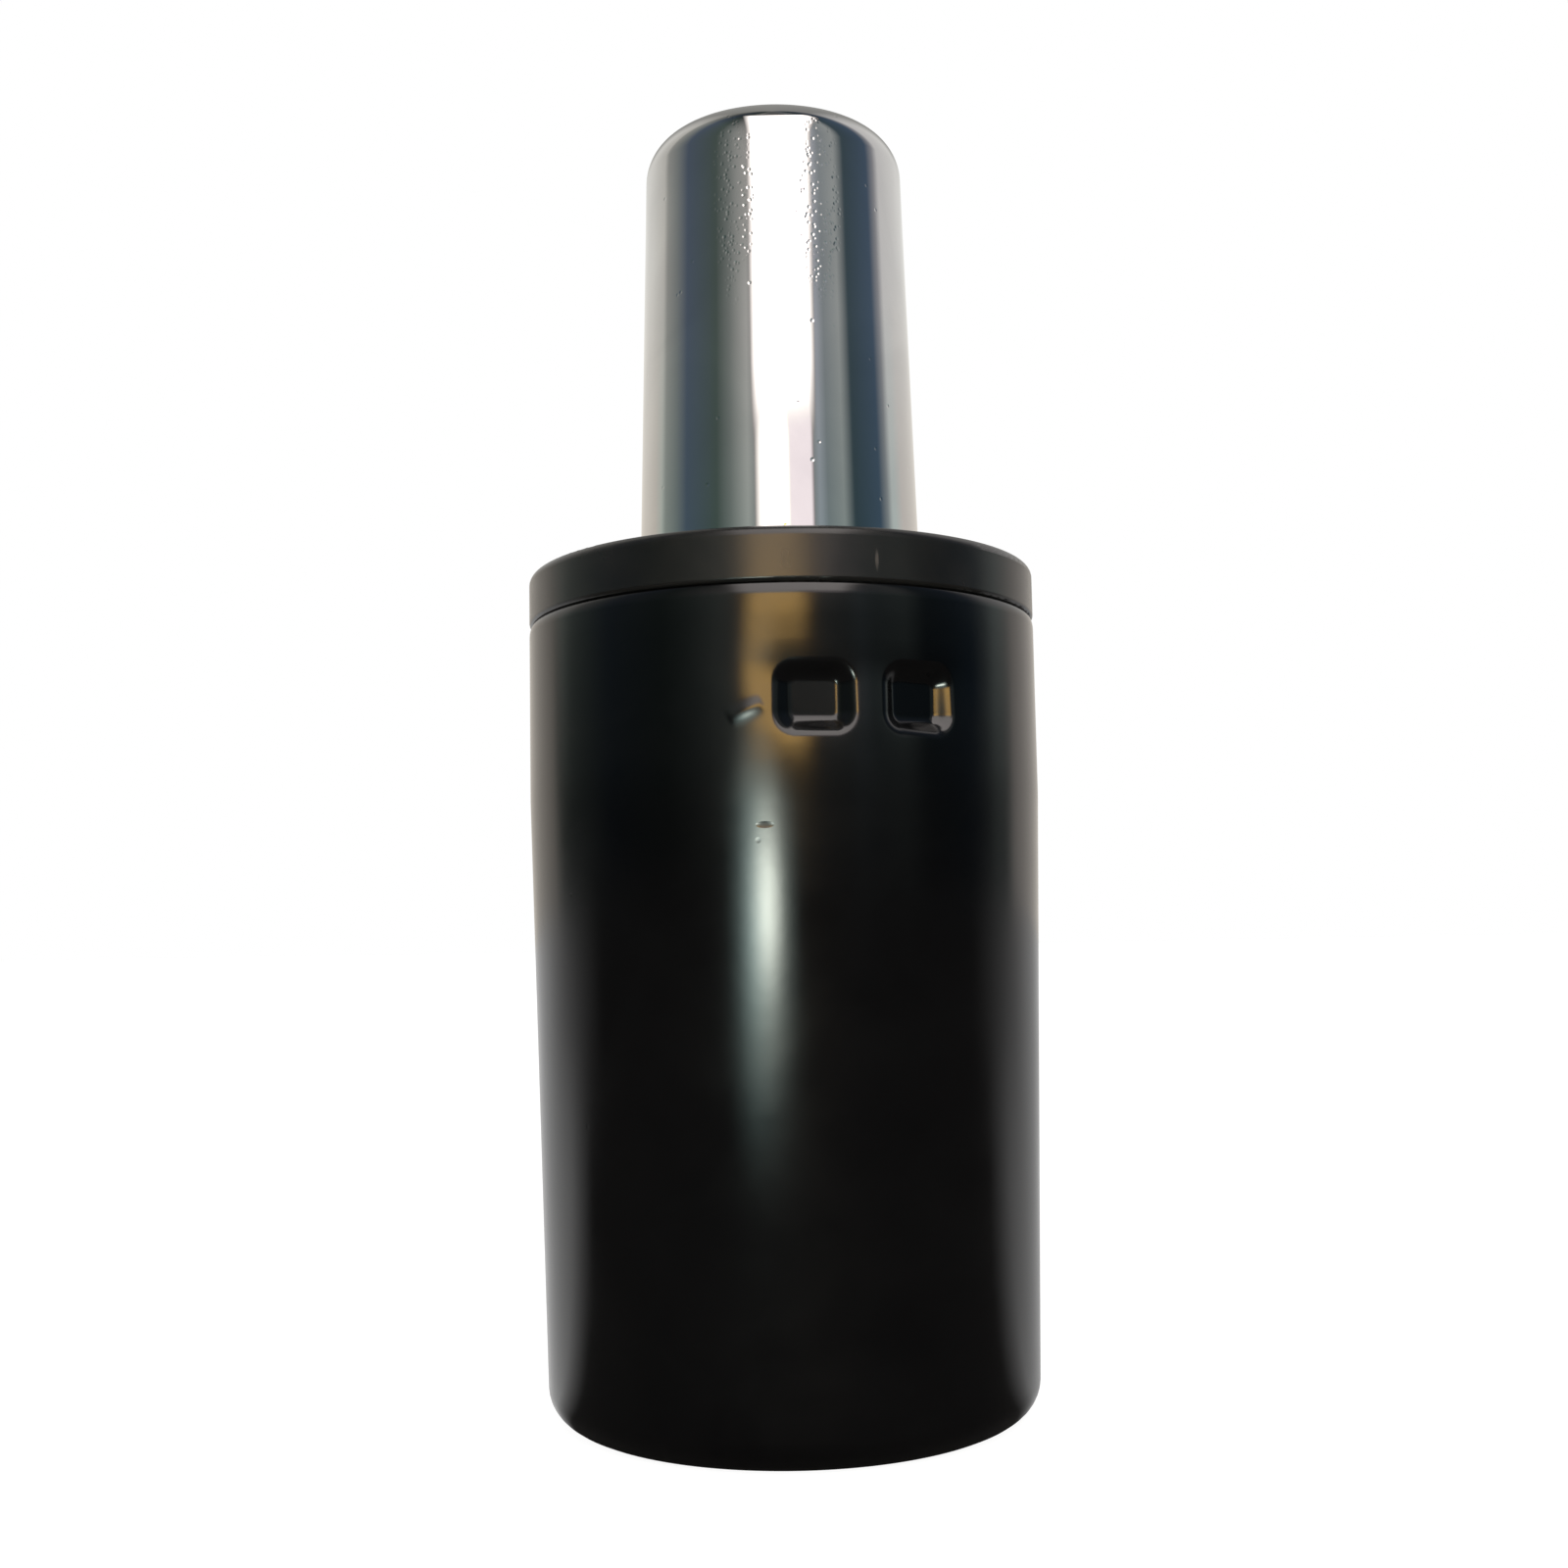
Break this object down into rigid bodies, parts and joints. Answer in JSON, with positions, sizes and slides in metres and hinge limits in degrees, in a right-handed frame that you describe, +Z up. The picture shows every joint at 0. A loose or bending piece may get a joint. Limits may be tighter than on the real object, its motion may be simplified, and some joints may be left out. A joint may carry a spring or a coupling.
{
  "type": "chair gas lift cylinder",
  "caption": "Short chair gas lift: black conical stand tube with a plastic guide collar, chromed conical gas tube that rises and swivels, and a release button on top.",
  "frame": {"origin": "centre of the round foot of the stand tube, on the plane that it stands on", "axes": "+Z up along the column's axis, towards the seat; -Y is the front, with the pair of dimples just to the right of it"},
  "size_m": [0.05, 0.05, 0.128],
  "materials": {
    "black_painted_steel": "gloss black paint on steel",
    "chromed_steel": "bright chrome on drawn steel",
    "black_acetal": "satin moulded black plastic",
    "zinc_plated_steel": "satin zinc plating",
    "bearing_steel": "ground steel",
    "hard_rod_steel": "ground and hard chromed",
    "dark_spring_steel": "blackened spring steel",
    "drawn_steel": "plain drawn steel, oiled",
    "machined_aluminium": "turned",
    "turned_brass": "turned",
    "cage_nylon": "moulded natural nylon",
    "black_rubber": "moulded rubber"
  },
  "bodies": {
    "stand": {"outer_tube": "black_painted_steel", "guide_sleeve": "black_acetal", "base_plate": "zinc_plated_steel", "bearing_lower_race": "bearing_steel"},
    "bearing_cage": {"ball_cage": "cage_nylon", "bearing_balls": "bearing_steel"},
    "rod": {"piston_rod": "hard_rod_steel", "bearing_upper_race": "bearing_steel", "foot_washer": "zinc_plated_steel", "retaining_clip": "dark_spring_steel", "stop_washer": "zinc_plated_steel", "rubber_stop": "black_rubber", "piston": "machined_aluminium", "piston_ring": "black_rubber", "piston_washer": "zinc_plated_steel", "piston_nut": "zinc_plated_steel"},
    "lifting_tube": {"gas_tube": "chromed_steel", "rod_guide": "machined_aluminium", "guide_ring": "black_rubber", "rod_seal": "black_rubber", "seal_spacer": "cage_nylon", "inner_tube": "drawn_steel", "valve_body": "turned_brass", "valve_inner_ring": "black_rubber", "valve_outer_ring": "black_rubber", "gland_sleeve": "cage_nylon", "pin_rings": "black_rubber", "top_plug": "drawn_steel"},
    "release": {"valve_pin": "hard_rod_steel", "release_button": "zinc_plated_steel"}
  },
  "joints": [
    {"name": "swivel", "type": "hinge", "parent": "stand", "child": "rod", "pos_m": [0, 0, 0.0105], "axis": [0, 0, 1], "continuous": true},
    {"name": "cage_turn", "type": "hinge", "parent": "stand", "child": "bearing_cage", "pos_m": [0, 0, 0.0105], "axis": [0, 0, 1], "continuous": true},
    {"name": "lift", "type": "slide", "parent": "rod", "child": "lifting_tube", "axis": [0, 0, 1], "range_m": [0, 0.035]},
    {"name": "button_press", "type": "slide", "parent": "lifting_tube", "child": "release", "axis": [0, 0, -1], "range_m": [0, 0.0018], "stiffness_N_per_m": 15000}
  ],
  "couplings": [
    {"joint": "cage_turn", "follows": "swivel", "ratio": 0.5}
  ]
}
